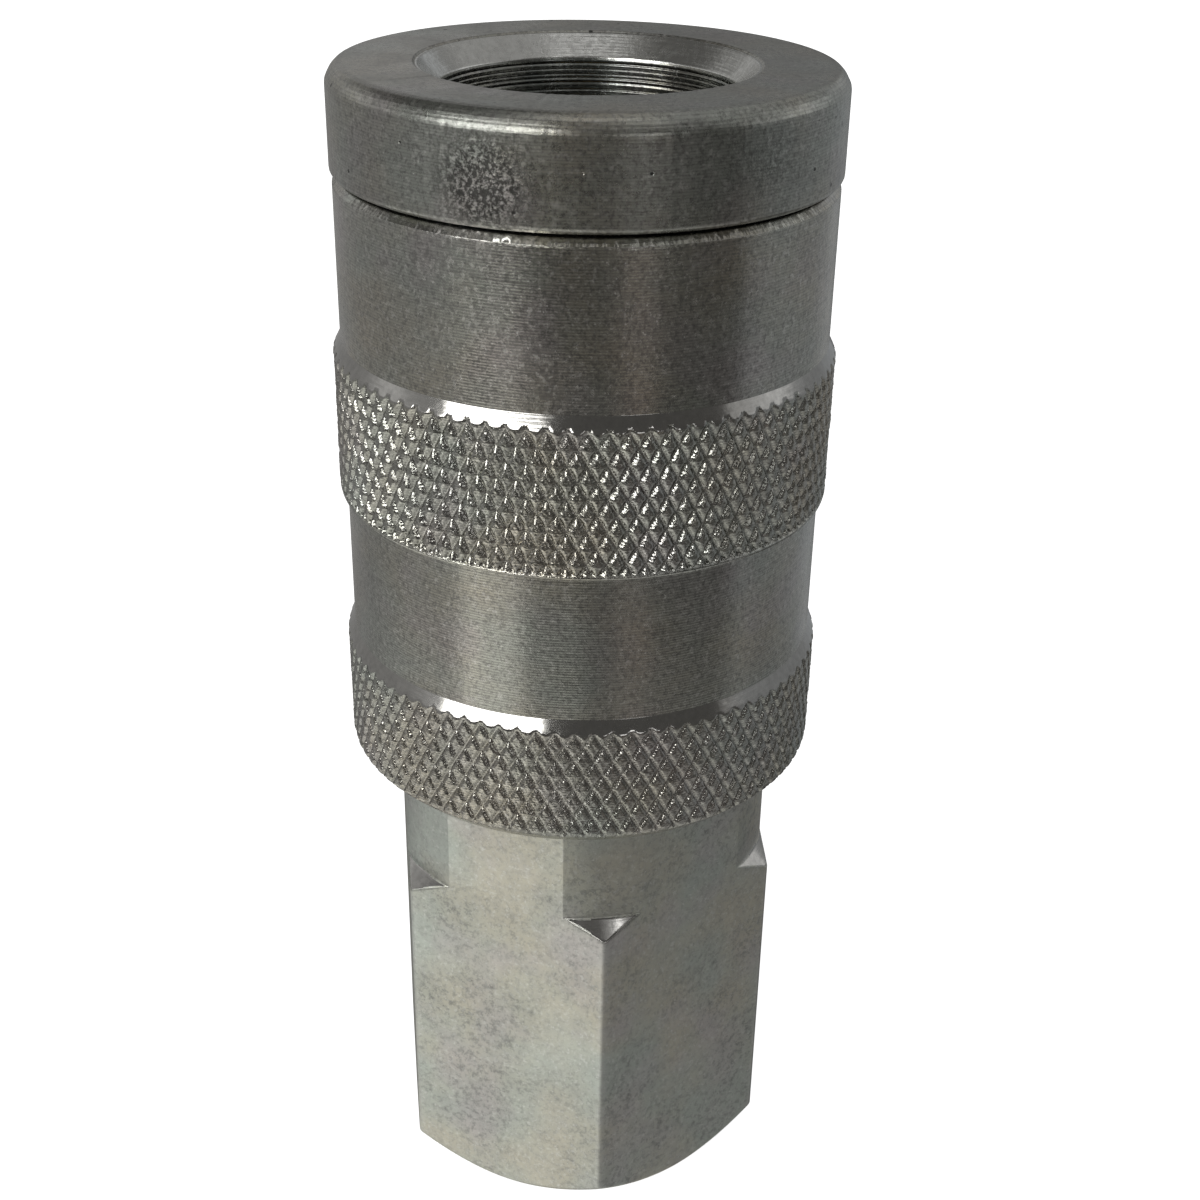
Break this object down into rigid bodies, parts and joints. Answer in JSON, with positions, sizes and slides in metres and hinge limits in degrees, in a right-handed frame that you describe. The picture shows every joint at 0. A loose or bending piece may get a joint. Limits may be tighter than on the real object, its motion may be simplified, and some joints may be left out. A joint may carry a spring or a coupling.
{
  "type": "quick disconnect coupler",
  "caption": "Female compressed-air coupler: a pull-back knurled sleeve with a fixed guard ring, a ball lock, a spring-loaded shut-off valve and a hexagon with a pipe port.",
  "frame": {"origin": "centre of the hexagon's end face, where the pipe port opens", "axes": "+Z along the flow axis towards the mouth that takes the plug; one corner of the hexagon points along -Y and one wrench flat faces +X"},
  "size_m": [0.0342, 0.0342, 0.084],
  "materials": {
    "zinc_plated_body": "zinc plated steel, turned and milled, satin grey",
    "zinc_plated_guard": "zinc plated steel, fine turning lines, lightly pitted",
    "zinc_plated_sleeve": "zinc plated steel with two diamond knurled grips",
    "spring_wire": "drawn spring steel, semi bright",
    "polished_ball_steel": "polished bearing steel",
    "nitrile_rubber": "black moulded nitrile rubber",
    "white_fluoroplastic": "white machined fluoroplastic",
    "turned_brass": "turned brass, satin"
  },
  "bodies": {
    "root": {"hex_body": "zinc_plated_body", "front_barrel": "zinc_plated_body", "guard_ring": "zinc_plated_guard", "plug_seal": "nitrile_rubber", "seal_backup_washer": "white_fluoroplastic", "valve_guide": "turned_brass", "body_o_ring": "nitrile_rubber", "sleeve_spring": "spring_wire", "valve_spring": "spring_wire"},
    "spring_washer": {"spring_thrust_washer": "spring_wire"},
    "sleeve": {"release_sleeve": "zinc_plated_sleeve"},
    "valve": {"valve_poppet": "turned_brass", "valve_face_seal": "nitrile_rubber"},
    "ball_1": {"locking_ball_1": "polished_ball_steel"},
    "ball_2": {"locking_ball_2": "polished_ball_steel"},
    "ball_3": {"locking_ball_3": "polished_ball_steel"},
    "ball_4": {"locking_ball_4": "polished_ball_steel"},
    "ball_5": {"locking_ball_5": "polished_ball_steel"},
    "ball_6": {"locking_ball_6": "polished_ball_steel"},
    "ball_7": {"locking_ball_7": "polished_ball_steel"},
    "ball_8": {"locking_ball_8": "polished_ball_steel"}
  },
  "joints": [
    {"name": "sleeve_slide", "type": "slide", "parent": "root", "child": "spring_washer", "axis": [0, 0, -1], "range_m": [0, 0.006], "stiffness_N_per_m": 1500, "springref_m": -0.006, "deforming": ["sleeve_spring"]},
    {"name": "sleeve_spin", "type": "hinge", "parent": "spring_washer", "child": "sleeve", "pos_m": [0, 0, 0.055], "axis": [0, 0, 1], "continuous": true},
    {"name": "valve_slide", "type": "slide", "parent": "root", "child": "valve", "axis": [0, 0, -1], "range_m": [0, 0.005], "stiffness_N_per_m": 700, "springref_m": -0.005, "deforming": ["valve_spring"]},
    {"name": "ball_1_travel", "type": "slide", "parent": "root", "child": "ball_1", "axis": [0.9239, 0.3827, 0], "range_m": [0, 0.00125]},
    {"name": "ball_2_travel", "type": "slide", "parent": "root", "child": "ball_2", "axis": [0.3827, 0.9239, 0], "range_m": [0, 0.00125]},
    {"name": "ball_3_travel", "type": "slide", "parent": "root", "child": "ball_3", "axis": [-0.3827, 0.9239, 0], "range_m": [0, 0.00125]},
    {"name": "ball_4_travel", "type": "slide", "parent": "root", "child": "ball_4", "axis": [-0.9239, 0.3827, 0], "range_m": [0, 0.00125]},
    {"name": "ball_5_travel", "type": "slide", "parent": "root", "child": "ball_5", "axis": [-0.9239, -0.3827, 0], "range_m": [0, 0.00125]},
    {"name": "ball_6_travel", "type": "slide", "parent": "root", "child": "ball_6", "axis": [-0.3827, -0.9239, 0], "range_m": [0, 0.00125]},
    {"name": "ball_7_travel", "type": "slide", "parent": "root", "child": "ball_7", "axis": [0.3827, -0.9239, 0], "range_m": [0, 0.00125]},
    {"name": "ball_8_travel", "type": "slide", "parent": "root", "child": "ball_8", "axis": [0.9239, -0.3827, 0], "range_m": [0, 0.00125]}
  ],
  "couplings": [
    {"joint": "ball_1_travel", "follows": "sleeve_slide", "ratio": 0.20833},
    {"joint": "ball_2_travel", "follows": "sleeve_slide", "ratio": 0.20833},
    {"joint": "ball_3_travel", "follows": "sleeve_slide", "ratio": 0.20833},
    {"joint": "ball_4_travel", "follows": "sleeve_slide", "ratio": 0.20833},
    {"joint": "ball_5_travel", "follows": "sleeve_slide", "ratio": 0.20833},
    {"joint": "ball_6_travel", "follows": "sleeve_slide", "ratio": 0.20833},
    {"joint": "ball_7_travel", "follows": "sleeve_slide", "ratio": 0.20833},
    {"joint": "ball_8_travel", "follows": "sleeve_slide", "ratio": 0.20833}
  ]
}
